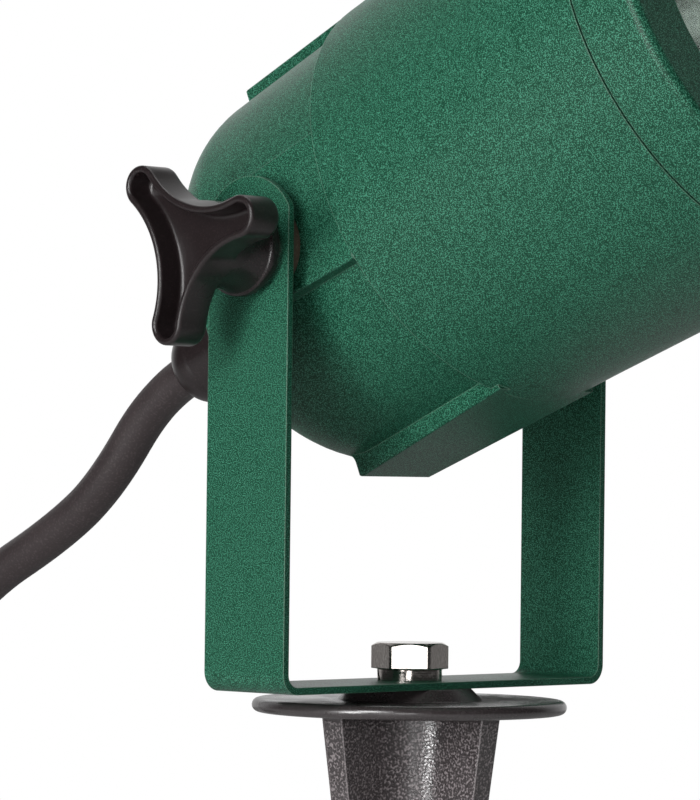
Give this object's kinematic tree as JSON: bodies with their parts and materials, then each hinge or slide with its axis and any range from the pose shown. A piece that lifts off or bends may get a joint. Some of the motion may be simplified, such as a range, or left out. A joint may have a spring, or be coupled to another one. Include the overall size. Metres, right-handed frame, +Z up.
{
  "type": "garden spike spotlight",
  "caption": "Outdoor spotlight with a round die-cast head that tilts in a U-shaped strap bracket on a finned ground spike, with knobs, gland, cord and plug.",
  "frame": {"origin": "centre of the spike disc's underside, which rests on the soil", "axes": "+Z up through the spike and bracket; the lamp looks towards -Y and tilts about an axis along X"},
  "size_m": [0.1828, 0.6747, 0.4387],
  "materials": {
    "green_enamel": "textured",
    "black_nylon": "moulded",
    "zinc_steel": "zinc plated",
    "brass": "plain",
    "plated_brass": "nickel plated",
    "rubber": "matt",
    "silicone": "matt",
    "glass": "clear",
    "lamp_metal": "bright",
    "ceramic": "glazed",
    "fibre": "plain",
    "black_rubber_cord": "matt"
  },
  "bodies": {
    "base": {"ground_spike": "black_nylon", "spike_insert": "brass", "base_bolt": "zinc_steel", "spring_washer": "zinc_steel"},
    "bracket": {"bracket": "green_enamel", "cord_lead": "black_rubber_cord", "cord_run": "black_rubber_cord", "cord_coil": "black_rubber_cord", "cord_tail": "black_rubber_cord", "plug_body": "rubber", "plug_pins": "plated_brass", "plug_clips": "plated_brass"},
    "head": {"housing": "green_enamel", "front_ring": "green_enamel", "front_glass": "glass", "glass_gasket": "silicone", "ring_seal": "silicone", "lamp_reflector": "lamp_metal", "lamp_lens": "glass", "lamp_cap": "plated_brass", "lampholder": "ceramic", "holder_shell": "brass", "holder_contact": "brass", "holder_strap": "zinc_steel", "holder_screws": "zinc_steel", "terminal_block": "ceramic", "gland_body": "black_nylon", "gland_seal": "rubber", "gland_nut": "black_nylon", "cord_entry": "black_rubber_cord", "friction_washer_left": "fibre", "friction_washer_right": "fibre"},
    "washer_left": {"knob_washer_left": "zinc_steel"},
    "knob_left": {"knob_left": "black_nylon", "knob_stud_left": "zinc_steel"},
    "washer_right": {"knob_washer_right": "zinc_steel"},
    "knob_right": {"knob_right": "black_nylon", "knob_stud_right": "zinc_steel"}
  },
  "joints": [
    {"name": "bracket_pan", "type": "hinge", "parent": "base", "child": "bracket", "pos_m": [0, 0, 0.007], "axis": [0, 0, 1], "range_deg": [-170, 170]},
    {"name": "head_tilt", "type": "hinge", "parent": "bracket", "child": "head", "pos_m": [0, 0, 0.1265], "axis": [-1, 0, 0], "range_deg": [-53, 57], "deforming": ["cord_lead"]},
    {"name": "knob_left_slide", "type": "slide", "parent": "head", "child": "washer_left", "axis": [-1, 0, 0], "range_m": [0, 0.0025]},
    {"name": "knob_left_turn", "type": "hinge", "parent": "washer_left", "child": "knob_left", "pos_m": [-0.065, 0, 0.1265], "axis": [-1, 0, 0], "range_deg": [0, 721]},
    {"name": "knob_right_slide", "type": "slide", "parent": "head", "child": "washer_right", "axis": [1, 0, 0], "range_m": [0, 0.0025]},
    {"name": "knob_right_turn", "type": "hinge", "parent": "washer_right", "child": "knob_right", "pos_m": [0.065, 0, 0.1265], "axis": [1, 0, 0], "range_deg": [0, 721]}
  ],
  "couplings": [
    {"joint": "knob_left_turn", "follows": "knob_left_slide", "rad_per_m": 5026.5},
    {"joint": "knob_right_turn", "follows": "knob_right_slide", "rad_per_m": 5026.5}
  ]
}
